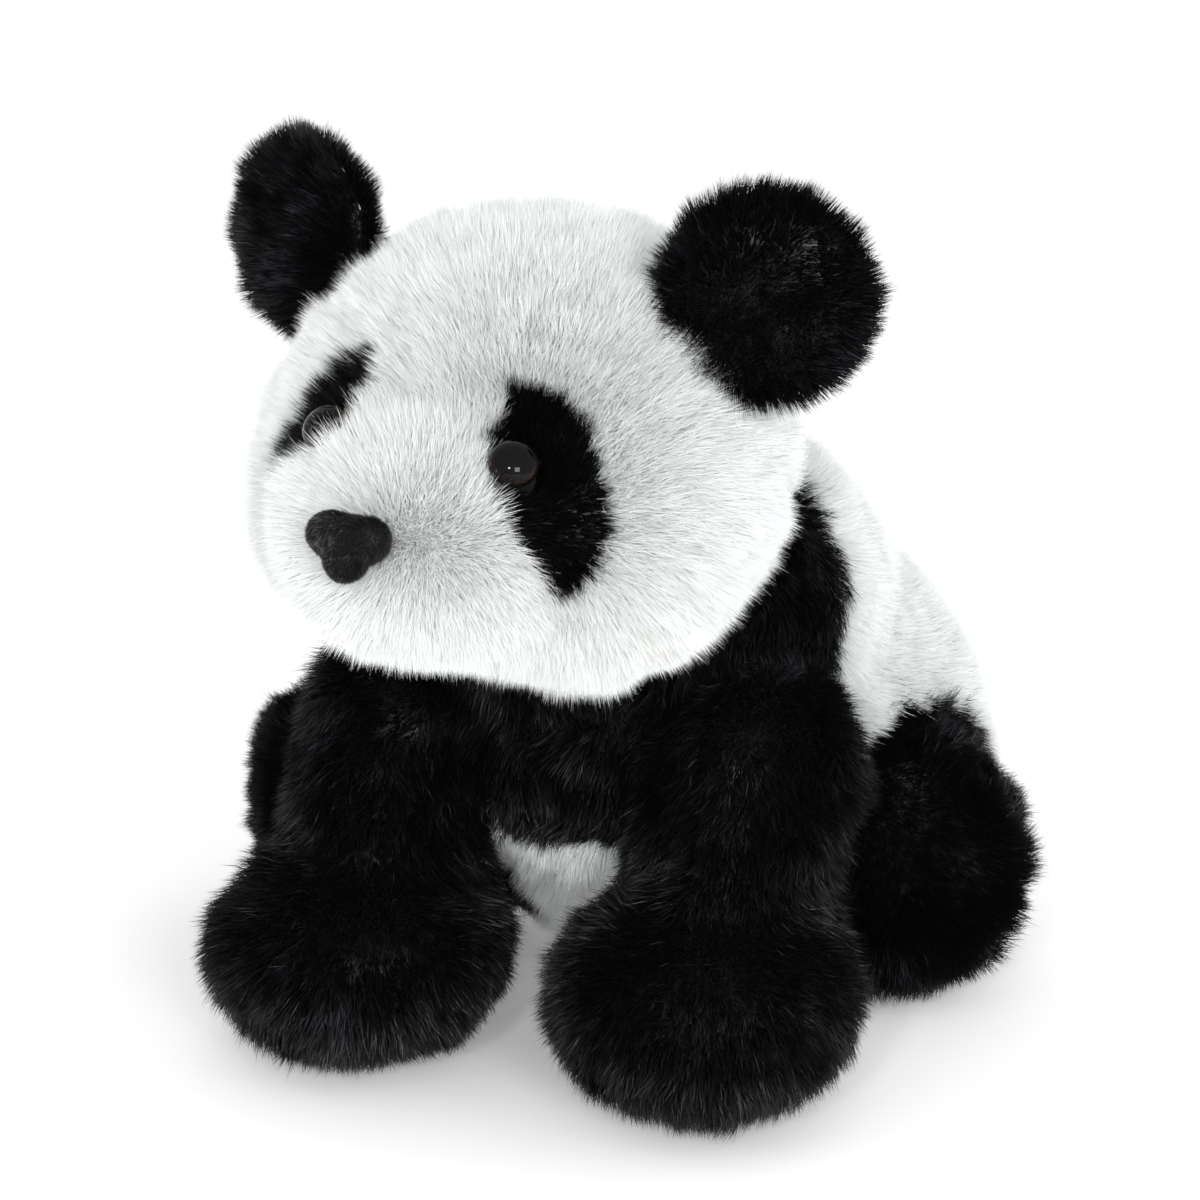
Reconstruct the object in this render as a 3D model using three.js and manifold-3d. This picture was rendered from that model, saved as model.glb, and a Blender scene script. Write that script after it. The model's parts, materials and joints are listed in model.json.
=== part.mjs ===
// Seated plush panda: sewn pile-fabric shells over stuffing, with safety eyes and nose.
// Millimetres, +Z up, the toy faces -Y and its own left side is +X. It sits on z = 0.
import * as THREE from 'three';
import { mergeVertices } from 'three/addons/utils/BufferGeometryUtils.js';
import Module from 'manifold-3d';

const wasm = await Module();
wasm.setup();

// Driving dimensions -------------------------------------------------------------------------
const SKIN = 7; // backing cloth and pile of one fabric panel
const EAR_SKIN = 4.5;
const GAP = 0.3; // between sewn neighbours
const FILL_GAP = 2.6; // between a fabric panel and the stuffing behind it
const BLEND = 6; // how tightly neighbouring lobes of one soft form merge

const HEAD_SHIFT = -3; // the head leans a little to the toy's right
const NECK = [HEAD_SHIFT, -10, 150]; // where the head turns and nods
const NECK_STEM_R = 19;
const NECK_BALL_R = 23;
const NECK_FOOT_Z = 112;
const SOCKET_PLAY = 0.8;
const SOCKET_FOOT = -60; // below the neck pivot
const SOCKET_MOUTH_R = 42;
const HEAD_TURN = -4; // rest attitude of the head, degrees
const HEAD_ROLL = 2;
const HEAD_MIDDLE = [0, -26, 176];
const HEAD_LOBES = [
  { at: [0, -22, 177], r: [68, 60, 61] }, // skull
  { at: [0, -82, 162], r: [35, 32, 27] }, // muzzle
  { at: [31, -46, 161], r: [33, 36, 34] }, // left cheek
  { at: [-31, -46, 161], r: [33, 36, 34] }, // right cheek
];
const HEAD_CLEAR = 7; // room all round the head for its turn of 15 degrees each way
const GUSSET_HALF = 17; // half width of the strip from nose to nape
const CHIN_TOP_Z = 141;

// x and z on the face; hand setting leaves the right eye and patch a little nearer the nose
const EYE_AT = { left: [27.5, 186.5], right: [-23.5, 188] };
const EYE_R = 6.2;
const EYE_SEAT = 1.5; // the dome's rim stands on the pile
const SHANK_R = 2;
const EYE_RISE = 4.6; // from the rim to the top of the dome
const EYE_RIM = 0.3;
const WASHER_R = 8;
const WASHER_THICK = 1.6;
const WASHER_DEPTH = SKIN + 1.4; // from the face to the washer
const PATCH_AT = { left: [33.5, 185.5], right: [-28.5, 192] };
const PATCH_R = { left: [14, 24], right: [10, 20] }; // half width and half height
const PATCH_TILT = { left: 18, right: -22 }; // degrees, tops towards the nose
const PATCH_CUT = 22; // depth of the cut on either side of the face
const NOSE_AT = [0, 170];
const NOSE_LOBES = [ // across, up and out from the face
  { at: [5.2, 1.6, 1], r: [6, 5.4, 4.6] },
  { at: [-5.2, 1.6, 1], r: [6, 5.4, 4.6] },
  { at: [0, -4, 1], r: [5.4, 5.6, 4.4] },
];
const NOSE_SHANK_R = 2.6;
const NOSE_WASHER_DEPTH = SKIN + 5.5; // deeper, behind the tight curve of the muzzle

const EAR_AT = [66, -30, 223];
const EAR_R = [30, 11, 30];
const EAR_YAW = 20; // degrees that the ear faces outwards
const EAR_CLEAR = 4.4;

const TORSO_MIDDLE = [0, 56, 84];
const TORSO_LOBES = [
  { at: [0, 92, 62], r: [84, 70, 72] }, // rump
  { at: [0, 34, 84], r: [58, 46, 44] }, // belly, clear of the floor
  { at: [0, 32, 132], r: [68, 66, 44] }, // shoulders
  { at: [0, 4, 88], r: [42, 32, 30] }, // chest between the front legs
];
const CHEST_REAR_Y = -8; // seam between the chest panel and the yoke
const CHEST_HALF = 30;
const YOKE_NAPE_Y = 43; // the seam behind the shoulders, on the middle line
const YOKE_SLANT = 0.3; // how far it comes forward for each millimetre out to the side
const BELLY_HALF = 57; // half width of the belly and seat panel
const BELLY_TOP_Z = 66;
const BELLY_REAR_Y = 44;
const SEAT_TOP_Z = 16;
const PELLET_BAG = { at: [0, 84], r: 32, narrow: 0.65, height: 20 };

const SHOULDER = [50, -2, 90]; // left shoulder pivot, mirrored for the right
const SHOULDER_R = [28, 32, 32];
const WRIST_R = [29, 28, 38];
const PAW_R = [42, 41, 28];
const PAW_Z = 27;
const PAW_AT = { left: [45, -26], right: [-55, -30] }; // each paw rests where it was put
const HIP = [56, 82, 40]; // left hip pivot, mirrored for the right
const HIP_SEAM_X = 30; // the flat side of each hind leg against the torso
const HIP_PLAY = 1;
const THIGH_AT = [62, 62, 46]; // left, mirrored for the right
const THIGH_R = 36;
const FOOT_R = 38;
const FOOT_AT = { left: [75, 55], right: [-117, 36] }; // middle of each sole
const FOOT_DEPTH = 0.45; // from the sole to the middle of the foot, in foot radii
const SOLE_FACES = { left: -60, right: -135 }; // heading of each sole, degrees from +X
const LIMB_CLEAR = 3.2;
const TAIL_CLEAR = 3.6;

const TAIL_AT = [0, 160, 44];
const TAIL_R = [17, 15, 13];

// Materials ----------------------------------------------------------------------------------
const paint = (color, roughness) => new THREE.MeshStandardMaterial({ color, roughness, metalness: 0 });
const WHITE_PILE = () => paint(0xf1f3f1, 0.95);
const BLACK_PILE = () => paint(0x17171a, 0.9);
const BLACK_FLOCK = () => paint(0x120f0f, 0.85);
const GLOSS_BLACK = () => paint(0x0a0706, 0.08);
const NATURAL_PLASTIC = () => paint(0xe6e2d6, 0.5);
const POLYFILL = () => paint(0xf7f6f2, 1);
const LINER_CLOTH = () => paint(0xd8cfbd, 0.95);

// Solid helpers ------------------------------------------------------------------------------
const rad = THREE.MathUtils.degToRad;
const mirrorX = ([x, y, z]) => [-x, y, z];

function solid(geometry) {
  const plain = geometry.clone();
  plain.deleteAttribute('normal');
  plain.deleteAttribute('uv');
  const merged = mergeVertices(plain, 1e-4);
  return new wasm.Manifold(new wasm.Mesh({
    numProp: 3,
    vertProperties: new Float32Array(merged.attributes.position.array),
    triVerts: new Uint32Array(merged.index.array),
  }));
}

function piece(name, body, material) {
  const { vertProperties, triVerts } = body.getMesh();
  const geometry = new THREE.BufferGeometry();
  geometry.setAttribute('position', new THREE.BufferAttribute(new Float32Array(vertProperties), 3));
  geometry.setIndex(new THREE.BufferAttribute(new Uint32Array(triVerts), 1));
  geometry.computeVertexNormals();
  const mesh = new THREE.Mesh(geometry, material);
  mesh.name = name;
  return mesh;
}

const box = (low, high) => {
  const size = high.map((v, i) => v - low[i]);
  const middle = high.map((v, i) => (v + low[i]) / 2);
  return new THREE.BoxGeometry(...size).translate(...middle);
};

// Straight prism along +Z with the given outline, from z0 to z1.
function prism(shape, z0, z1, curveSegments = 12) {
  const settings = { depth: z1 - z0, bevelEnabled: false, curveSegments };
  return new THREE.ExtrudeGeometry(shape, settings).translate(0, 0, z0);
}

// Prism along X with an outline given as y, z pairs.
function sidePrism(outline, x0, x1) {
  const shape = new THREE.Shape(outline.map(([y, z]) => new THREE.Vector2(y, z)));
  const turn = new THREE.Matrix4().makeBasis(
    new THREE.Vector3(0, 1, 0), new THREE.Vector3(0, 0, 1), new THREE.Vector3(1, 0, 0));
  return prism(shape, x0, x1).applyMatrix4(turn);
}

// Body turned from a profile of radius, height pairs about +Z.
function turned(profile, segments = 16) {
  const points = profile.map(([r, h]) => new THREE.Vector2(r, h));
  return new THREE.LatheGeometry(points, segments).rotateX(Math.PI / 2);
}

const disc = (radius, z0, z1, segments) => turned([[0, z0], [radius, z0], [radius, z1], [0, z1]], segments);

// Turns a geometry or point about an axis through a pivot.
function spin(pivot, axis, degrees) {
  const [x, y, z] = pivot;
  return new THREE.Matrix4().makeTranslation(x, y, z)
    .multiply(new THREE.Matrix4().makeRotationAxis(new THREE.Vector3(...axis).normalize(), rad(degrees)))
    .multiply(new THREE.Matrix4().makeTranslation(-x, -y, -z));
}

// Soft forms ---------------------------------------------------------------------------------
// Above 1 inside the merged lobes and below 1 outside them.
function fullness(lobes, x, y, z) {
  let sum = 0;
  for (const { at, r } of lobes) {
    const d = Math.hypot((x - at[0]) / r[0], (y - at[1]) / r[1], (z - at[2]) / r[2]);
    sum += Math.pow(Math.max(d, 0.05), -BLEND);
  }
  return sum;
}

// Distance from a point inside the lobes to their surface, along a unit direction.
function reach(lobes, from, direction) {
  let near = 0;
  let far = 320;
  for (let step = 0; step < 32; step += 1) {
    const mid = (near + far) / 2;
    const inside = fullness(lobes, ...from.map((v, i) => v + direction[i] * mid)) > 1;
    if (inside) near = mid;
    else far = mid;
  }
  return near;
}

// One stuffed form: a sphere pushed out to the lobes, then grown, and flattened where it sits.
function form(lobes, middle, grow = 0, across = 20, down = 12, floor = 0) {
  const ball = new THREE.SphereGeometry(1, across, down).rotateX(Math.PI / 2);
  const position = ball.attributes.position;
  for (let i = 0; i < position.count; i += 1) {
    const direction = new THREE.Vector3().fromBufferAttribute(position, i).normalize();
    const length = reach(lobes, middle, direction.toArray()) + grow;
    const place = direction.multiplyScalar(length).add(new THREE.Vector3(...middle));
    position.setXYZ(i, place.x, place.y, Math.max(place.z, floor));
  }
  return ball;
}

// Point on the face at a given x and z, with the outward direction there.
function onFace([x, z]) {
  const y = HEAD_MIDDLE[1] - reach(HEAD_LOBES, [x, HEAD_MIDDLE[1], z], [0, -1, 0]);
  const step = 0.5;
  const slope = ['x', 'y', 'z'].map((_, i) => {
    const shift = [0, 0, 0];
    shift[i] = step;
    return fullness(HEAD_LOBES, x - shift[0], y - shift[1], z - shift[2])
      - fullness(HEAD_LOBES, x + shift[0], y + shift[1], z + shift[2]);
  });
  return { at: new THREE.Vector3(x, y, z), out: new THREE.Vector3(...slope).normalize() };
}

// Frame on the face: local +Z points out of the face and local +Y up it.
function faceFrame(spot, rollDegrees = 0) {
  const { at, out } = onFace(spot);
  const side = new THREE.Vector3(0, 0, 1).cross(out).normalize();
  const up = new THREE.Vector3().crossVectors(out, side);
  return new THREE.Matrix4().makeBasis(side, up, out).setPosition(at)
    .multiply(new THREE.Matrix4().makeRotationZ(rad(rollDegrees)));
}

// The main body of a cut piece, without the crumbs that a cut can leave.
const mainBody = (body) => body.decompose()
  .reduce((best, part) => (part.volume() > best.volume() ? part : best));

const cutAll = (body, tools) => tools.reduce((rest, tool) => rest.subtract(tool), body);

// Neck ---------------------------------------------------------------------------------------
// Stem and ball on the neck axis, with room all round when play is above zero.
function neckProfile(play, footZ) {
  const ballR = NECK_BALL_R + play;
  const stemR = NECK_STEM_R + play;
  const low = Math.asin(stemR / ballR);
  const arc = Array.from({ length: 8 }, (_, i) => {
    const angle = Math.PI - low - (i / 7) * (Math.PI - low);
    return [Math.max(ballR * Math.sin(angle), 0), ballR * Math.cos(angle)];
  });
  return turned([[0, footZ - NECK[2]], [stemR, footZ - NECK[2]], ...arc], 16).translate(...NECK);
}

// The head's opening: a ball socket that flares so that the head can nod over the stem.
function neckSocket() {
  const ballR = NECK_BALL_R + SOCKET_PLAY;
  const arc = Array.from({ length: 7 }, (_, i) => {
    const angle = Math.PI * 0.62 * (1 - i / 6);
    return [Math.max(ballR * Math.sin(angle), 0), ballR * Math.cos(angle)];
  });
  const flare = [[0, SOCKET_FOOT], [SOCKET_MOUTH_R, SOCKET_FOOT]];
  return turned([...flare, ...arc], 20).translate(NECK[0] - HEAD_SHIFT, NECK[1], NECK[2]);
}

// Head ---------------------------------------------------------------------------------------
const headOuter = solid(form(HEAD_LOBES, HEAD_MIDDLE, 0, 20, 14));
const headInner = solid(form(HEAD_LOBES, HEAD_MIDDLE, -SKIN, 20, 14));
const headShell = headOuter.subtract(headInner).subtract(solid(neckSocket()));

function domedEye() {
  const dome = Array.from({ length: 6 }, (_, i) => {
    const angle = (i / 5) * (Math.PI / 2);
    return [EYE_R * Math.cos(angle), EYE_SEAT + EYE_RIM + EYE_RISE * Math.sin(angle)];
  });
  const shankEnd = -WASHER_DEPTH - 3;
  const shank = [[0, shankEnd], [SHANK_R, shankEnd], [SHANK_R, EYE_SEAT], [EYE_R, EYE_SEAT]];
  return turned([...shank, ...dome.slice(1, -1), [0, EYE_SEAT + EYE_RIM + EYE_RISE]], 12);
}

const ring = (inner, outer, thick) => turned(
  [[inner, 0], [outer, 0], [outer, thick], [inner, thick], [inner, 0]], 16);

function buildHead() {
  const group = new THREE.Group();
  const sides = { left: 1, right: -1 };
  const shankHoles = [];
  const pockets = [];
  const patchCutters = {};
  const patchBlanks = {};
  for (const [side, s] of Object.entries(sides)) {
    const eyeFrame = faceFrame(EYE_AT[side]);
    shankHoles.push(solid(disc(SHANK_R + 0.4, -20, 20, 12).applyMatrix4(eyeFrame)));
    pockets.push(solid(disc(WASHER_R + 0.8, -WASHER_DEPTH - 3.4, 0, 16).applyMatrix4(eyeFrame)));
    const patchFrame = faceFrame(PATCH_AT[side], PATCH_TILT[side]);
    const patchOval = (extra) => {
      const [halfWidth, halfHeight] = PATCH_R[side].map((v) => v + extra);
      const oval = new THREE.Shape().absellipse(0, 0, halfWidth, halfHeight, 0, Math.PI * 2, false, 0);
      return solid(prism(oval, -PATCH_CUT, PATCH_CUT, 10).applyMatrix4(patchFrame));
    };
    patchCutters[side] = patchOval(GAP / 2);
    patchBlanks[side] = patchOval(-GAP / 2);
    group.add(piece(`eye_${side}`, solid(domedEye().applyMatrix4(eyeFrame)), GLOSS_BLACK()));
    const washer = ring(SHANK_R + 0.35, WASHER_R, WASHER_THICK)
      .translate(0, 0, -WASHER_DEPTH - WASHER_THICK);
    group.add(piece(`eye_washer_${side}`, solid(washer.applyMatrix4(eyeFrame)), NATURAL_PLASTIC()));
  }
  const noseFrame = faceFrame(NOSE_AT);
  shankHoles.push(solid(disc(NOSE_SHANK_R + 0.4, -20, 20, 12).applyMatrix4(noseFrame)));
  pockets.push(solid(disc(WASHER_R + 0.8, -NOSE_WASHER_DEPTH - 3.4, 0, 16).applyMatrix4(noseFrame)));
  const noseShank = disc(NOSE_SHANK_R, -NOSE_WASHER_DEPTH - 3, 2, 12).applyMatrix4(noseFrame);
  const nose = solid(form(NOSE_LOBES, [0, 0, 1], 0, 16, 10, -20).applyMatrix4(noseFrame))
    .subtract(solid(form(HEAD_LOBES, HEAD_MIDDLE, 0.7, 20, 14)))
    .add(solid(noseShank));
  group.add(piece('nose', nose, BLACK_FLOCK()));
  const noseWasher = ring(NOSE_SHANK_R + 0.35, WASHER_R - 1, WASHER_THICK)
    .translate(0, 0, -NOSE_WASHER_DEPTH - WASHER_THICK);
  group.add(piece('nose_washer', solid(noseWasher.applyMatrix4(noseFrame)), NATURAL_PLASTIC()));

  const strip = solid(box([-GUSSET_HALF, -200, 0], [GUSSET_HALF, 200, 300]));
  const chinZone = (extra) => solid(box(
    [-GUSSET_HALF - 1, -200, 0], [GUSSET_HALF + 1, NECK[1], CHIN_TOP_Z + extra]));
  const middle = cutAll(headShell.intersect(strip), shankHoles);
  group.add(piece('head_gusset', middle.subtract(chinZone(GAP)), WHITE_PILE()));
  group.add(piece('chin_panel', middle.intersect(chinZone(0)), WHITE_PILE()));
  for (const [side, s] of Object.entries(sides)) {
    const inner = GUSSET_HALF + GAP;
    const [low, high] = s > 0 ? [inner, 200] : [-200, -inner];
    const panel = headShell.intersect(solid(box([low, -200, 0], [high, 200, 300])));
    const patch = cutAll(panel.intersect(patchBlanks[side]), shankHoles);
    group.add(piece(`eye_patch_${side}`, patch, BLACK_PILE()));
    const cheek = cutAll(panel.subtract(patchCutters[side]), shankHoles);
    group.add(piece(`head_side_${side}`, cheek, WHITE_PILE()));
  }
  const stuffing = solid(form(HEAD_LOBES, HEAD_MIDDLE, -SKIN - FILL_GAP, 20, 14));
  group.add(piece('head_stuffing', cutAll(stuffing, [...pockets, solid(neckSocket())]), POLYFILL()));
  return group;
}

// An ear is two fabric faces with a thin filling, cut to sit on the head.
function buildEar(side, s) {
  const group = new THREE.Group();
  const place = new THREE.Matrix4().makeTranslation(s * EAR_AT[0], EAR_AT[1], EAR_AT[2])
    .multiply(new THREE.Matrix4().makeRotationZ(rad(s * EAR_YAW)));
  const oval = (shrink) => solid(new THREE.SphereGeometry(1, 14, 8)
    .scale(...EAR_R.map((v) => v - shrink)).applyMatrix4(place));
  const head = solid(form(HEAD_LOBES, HEAD_MIDDLE, EAR_CLEAR, 14, 10));
  const shell = oval(0).subtract(oval(EAR_SKIN)).subtract(head);
  const front = solid(box([-60, -60, -60], [60, -GAP / 2, 60]).applyMatrix4(place));
  const back = solid(box([-60, GAP / 2, -60], [60, 60, 60]).applyMatrix4(place));
  group.add(piece(`ear_${side}_front`, shell.intersect(front), BLACK_PILE()));
  group.add(piece(`ear_${side}_back`, shell.intersect(back), BLACK_PILE()));
  group.add(piece(`ear_${side}_filling`, oval(EAR_SKIN + 0.8).subtract(head), POLYFILL()));
  return group;
}

// Legs ---------------------------------------------------------------------------------------
function frontLegLobes(side) {
  const shoulder = side === 'left' ? SHOULDER : mirrorX(SHOULDER);
  const [pawX, pawY] = PAW_AT[side];
  const wrist = shoulder.map((v, i) => (v + [pawX, pawY, PAW_Z][i]) / 2);
  return {
    pivot: shoulder,
    middle: wrist,
    lobes: [
      { at: shoulder, r: SHOULDER_R },
      { at: wrist, r: WRIST_R },
      { at: [pawX, pawY, PAW_Z], r: PAW_R },
    ],
  };
}

function buildFrontLeg(side, s) {
  const group = new THREE.Group();
  const { middle, lobes } = frontLegLobes(side);
  const inside = form(lobes, middle, -SKIN, 14, 10, SKIN);
  const shell = solid(form(lobes, middle, 0, 14, 10)).subtract(solid(inside));
  const seam = middle[0];
  const half = (low, high) => solid(box([low, -200, -10], [high, 200, 300]));
  const inner = s > 0 ? half(-200, seam - GAP / 2) : half(seam + GAP / 2, 200);
  const outer = s > 0 ? half(seam + GAP / 2, 200) : half(-200, seam - GAP / 2);
  group.add(piece(`front_leg_${side}_inner`, shell.intersect(inner), BLACK_PILE()));
  group.add(piece(`front_leg_${side}_outer`, shell.intersect(outer), BLACK_PILE()));
  const filling = form(lobes, middle, -SKIN - FILL_GAP, 14, 10, SKIN + GAP);
  group.add(piece(`front_leg_${side}_stuffing`, solid(filling), POLYFILL()));
  return group;
}

function hindLeg(side) {
  const hip = side === 'left' ? HIP : mirrorX(HIP);
  const heading = rad(SOLE_FACES[side]);
  const out = new THREE.Vector3(Math.cos(heading), Math.sin(heading), 0);
  const sole = new THREE.Vector3(...FOOT_AT[side], FOOT_R);
  const foot = sole.clone().addScaledVector(out, -FOOT_R * FOOT_DEPTH);
  const lobes = [
    { at: side === 'left' ? THIGH_AT : mirrorX(THIGH_AT), r: [THIGH_R, THIGH_R, THIGH_R] },
    { at: foot.toArray(), r: [FOOT_R, FOOT_R, FOOT_R] },
  ];
  const faceOut = new THREE.Matrix4().makeBasis(
    new THREE.Vector3(-out.y, out.x, 0), new THREE.Vector3(0, 0, 1), out).setPosition(sole);
  const middle = foot.clone().add(new THREE.Vector3(...hip)).multiplyScalar(0.5).toArray();
  return { hip, lobes, middle, faceOut };
}

// The space outside the hip seam on one side, where the hind leg may be.
function outsideHip(side, seam) {
  const [low, high] = side === 'left' ? [seam, 300] : [-300, -seam];
  return solid(box([low, -200, -20], [high, 300, 200]));
}

// Everything in front of a sole's plane, moved along its heading by depth.
const beyondSole = (leg, depth) => solid(box([-90, -90, depth], [90, 90, 90]).applyMatrix4(leg.faceOut));

function buildHindLeg(side) {
  const group = new THREE.Group();
  const leg = hindLeg(side);
  const stuffed = (shrink) => solid(form(leg.lobes, leg.middle, -shrink, 14, 10))
    .intersect(outsideHip(side, HIP_SEAM_X + shrink));
  const outer = stuffed(0).subtract(beyondSole(leg, 0));
  const disk = outer.intersect(beyondSole(leg, -SKIN));
  const cup = outer.subtract(stuffed(SKIN)).subtract(beyondSole(leg, -SKIN - GAP));
  group.add(piece(`hind_leg_${side}_shell`, cup, BLACK_PILE()));
  group.add(piece(`hind_leg_${side}_sole`, disk, BLACK_PILE()));
  const filling = stuffed(SKIN + FILL_GAP).subtract(beyondSole(leg, -SKIN - GAP * 2));
  group.add(piece(`hind_leg_${side}_stuffing`, filling, POLYFILL()));
  return group;
}

// Torso --------------------------------------------------------------------------------------
// What the head and legs sweep through as they move, with some room, from coarse forms.
function sweptRoom({ extra, across, down, nods, swings, lifts }) {
  const room = [];
  const headForm = form(HEAD_LOBES, HEAD_MIDDLE, HEAD_CLEAR + extra, across, down)
    .translate(HEAD_SHIFT, 0, 0).applyMatrix4(spin(NECK, [0, 1, 0], HEAD_ROLL));
  for (const nod of nods) {
    room.push(solid(headForm.clone().applyMatrix4(spin(NECK, [1, 0, 0], nod))));
  }
  const clear = LIMB_CLEAR + extra;
  for (const side of ['left', 'right']) {
    const front = frontLegLobes(side);
    const frontForm = form(front.lobes, front.middle, clear, across, down, -clear);
    for (const swing of swings) {
      room.push(solid(frontForm.clone().applyMatrix4(spin(front.pivot, [1, 0, 0], swing))));
    }
    const hind = hindLeg(side);
    const hindForm = form(hind.lobes, hind.middle, clear, across, down, -clear);
    for (const lift of lifts) {
      const lifted = solid(hindForm.clone().applyMatrix4(spin(hind.hip, [-1, 0, 0], lift)));
      room.push(lifted.intersect(outsideHip(side, HIP_SEAM_X - HIP_PLAY - extra)));
    }
  }
  room.push(solid(neckProfile(SOCKET_PLAY, NECK_FOOT_Z - SOCKET_PLAY)));
  return room;
}

function buildTorso() {
  const group = new THREE.Group();
  const room = sweptRoom({
    extra: 0, across: 14, down: 10, nods: [-10, 8], swings: [-25, -15, -5, 6], lifts: [0, 10, 20],
  });
  const deepRoom = sweptRoom({
    extra: 6.5, across: 10, down: 7, nods: [-1], swings: [-25, -9, 6], lifts: [0, 10, 20],
  });
  const outer = cutAll(solid(form(TORSO_LOBES, TORSO_MIDDLE, 0, 20, 12)), room);
  const inner = solid(form(TORSO_LOBES, TORSO_MIDDLE, -SKIN, 20, 12, SKIN));
  const shell = outer.subtract(inner);
  const yokeZone = (extra) => {
    const nape = YOKE_NAPE_Y + extra;
    const outline = [[-200, -200], [200, -200], [200, nape - 200 * YOKE_SLANT], [0, nape],
      [-200, nape - 200 * YOKE_SLANT]];
    return solid(prism(new THREE.Shape(outline.map(([x, y]) => new THREE.Vector2(x, y))), -10, 200));
  };
  const bellyZone = (extra) => {
    const outline = [[-200, -10], [300, -10], [300, SEAT_TOP_Z + extra], [BELLY_REAR_Y, SEAT_TOP_Z + extra],
      [BELLY_REAR_Y, BELLY_TOP_Z + extra], [-200, BELLY_TOP_Z + extra]];
    return solid(sidePrism(outline, -BELLY_HALF - extra, BELLY_HALF + extra));
  };
  const black = shell.intersect(yokeZone(0)).subtract(bellyZone(GAP));
  const bib = (extra) => solid(box(
    [-CHEST_HALF - extra, -200, 0], [CHEST_HALF + extra, CHEST_REAR_Y + extra, 300]));
  group.add(piece('chest_panel', mainBody(black.intersect(bib(0))), BLACK_PILE()));
  group.add(piece('shoulder_yoke', mainBody(black.subtract(bib(GAP))), BLACK_PILE()));
  group.add(piece('belly_panel', mainBody(shell.intersect(bellyZone(0))), WHITE_PILE()));
  const back = shell.subtract(yokeZone(GAP)).subtract(bellyZone(GAP));
  const flank = (low, high) => mainBody(back.intersect(solid(box([low, -200, -10], [high, 300, 300]))));
  group.add(piece('back_left', flank(GAP / 2, 200), WHITE_PILE()));
  group.add(piece('back_right', flank(-200, -GAP / 2), WHITE_PILE()));
  const { at: [bagX, bagY], r, narrow, height } = PELLET_BAG;
  const bagBase = SKIN + FILL_GAP;
  const bag = turned([[0, bagBase], [r * 0.85, bagBase], [r, bagBase + height * 0.4],
    [r * 0.8, bagBase + height * 0.85], [0, bagBase + height]], 16)
    .scale(narrow, 1, 1).translate(bagX, bagY, 0);
  group.add(piece('pellet_bag', solid(bag), LINER_CLOTH()));
  const bagRoom = disc(r + 2, 0, bagBase + height + 1, 16).scale(narrow, 1, 1).translate(bagX, bagY, 0);
  const fillForm = form(TORSO_LOBES, TORSO_MIDDLE, -SKIN - FILL_GAP, 20, 12, SKIN + GAP);
  const filling = cutAll(solid(fillForm), deepRoom);
  group.add(piece('torso_stuffing', filling.subtract(solid(bagRoom)), POLYFILL()));
  return group;
}

function buildTail() {
  const bud = solid(new THREE.SphereGeometry(1, 12, 8).scale(...TAIL_R).translate(...TAIL_AT));
  const rump = solid(form(TORSO_LOBES, TORSO_MIDDLE, TAIL_CLEAR, 20, 12));
  return piece('tail', bud.subtract(rump), WHITE_PILE());
}

// Whole toy ----------------------------------------------------------------------------------
const panda = new THREE.Group();

const head = new THREE.Group();
head.add(buildHead(), buildEar('left', 1), buildEar('right', -1));
head.applyMatrix4(spin(NECK, [0, 0, 1], HEAD_TURN).multiply(spin(NECK, [0, 1, 0], HEAD_ROLL))
  .multiply(new THREE.Matrix4().makeTranslation(HEAD_SHIFT, 0, 0)));

panda.add(head);
panda.add(piece('neck_plug', solid(neckProfile(0, NECK_FOOT_Z)), LINER_CLOTH()));
panda.add(buildTorso(), buildTail());
for (const [side, s] of [['left', 1], ['right', -1]]) {
  panda.add(buildFrontLeg(side, s), buildHindLeg(side));
}

// The origin is under the middle of the whole toy, on the surface that it sits on.
const bounds = new THREE.Box3().setFromObject(panda);
const middle = bounds.getCenter(new THREE.Vector3());
panda.position.set(-middle.x, -middle.y, 0);

export default panda;
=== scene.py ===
"""Looks of the plush panda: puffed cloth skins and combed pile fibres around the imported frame."""
import json
import math
from dataclasses import dataclass

import bmesh
import bpy
import numpy as np
from mathutils import Matrix, Vector
from mathutils.bvhtree import BVHTree


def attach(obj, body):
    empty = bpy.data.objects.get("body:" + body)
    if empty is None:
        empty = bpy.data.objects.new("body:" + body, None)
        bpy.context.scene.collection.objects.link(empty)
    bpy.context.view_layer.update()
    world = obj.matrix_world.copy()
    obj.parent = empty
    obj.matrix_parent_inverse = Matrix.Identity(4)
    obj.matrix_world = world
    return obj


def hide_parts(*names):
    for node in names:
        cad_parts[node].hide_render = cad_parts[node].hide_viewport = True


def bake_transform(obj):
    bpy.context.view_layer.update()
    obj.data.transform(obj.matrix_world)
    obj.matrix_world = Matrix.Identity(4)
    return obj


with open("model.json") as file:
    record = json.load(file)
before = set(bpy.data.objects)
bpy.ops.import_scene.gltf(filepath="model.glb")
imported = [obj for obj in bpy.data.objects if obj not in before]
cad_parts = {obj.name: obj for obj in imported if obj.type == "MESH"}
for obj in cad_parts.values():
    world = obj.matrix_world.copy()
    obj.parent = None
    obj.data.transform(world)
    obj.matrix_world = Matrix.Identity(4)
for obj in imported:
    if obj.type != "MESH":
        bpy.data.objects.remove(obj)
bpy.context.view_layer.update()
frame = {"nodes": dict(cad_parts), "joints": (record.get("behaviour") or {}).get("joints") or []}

MM = 0.001
SIDES = {"left": 1, "right": -1}

# Where things are: the frame's joints give the anchors, and the toy's own millimetres hang off them.
JOINTS = {j["name"]: j for j in frame["joints"]}


def joint_at(name):
    return np.array(JOINTS[name]["pos_m"], float)


# The middle between the shoulder pivots, in the toy's millimetres.
SHOULDER_MM = np.array([0.0, -2.0, 90.0])
ORIGIN = (joint_at("front_left_swing") + joint_at("front_right_swing")) / 2 - SHOULDER_MM * MM


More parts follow.
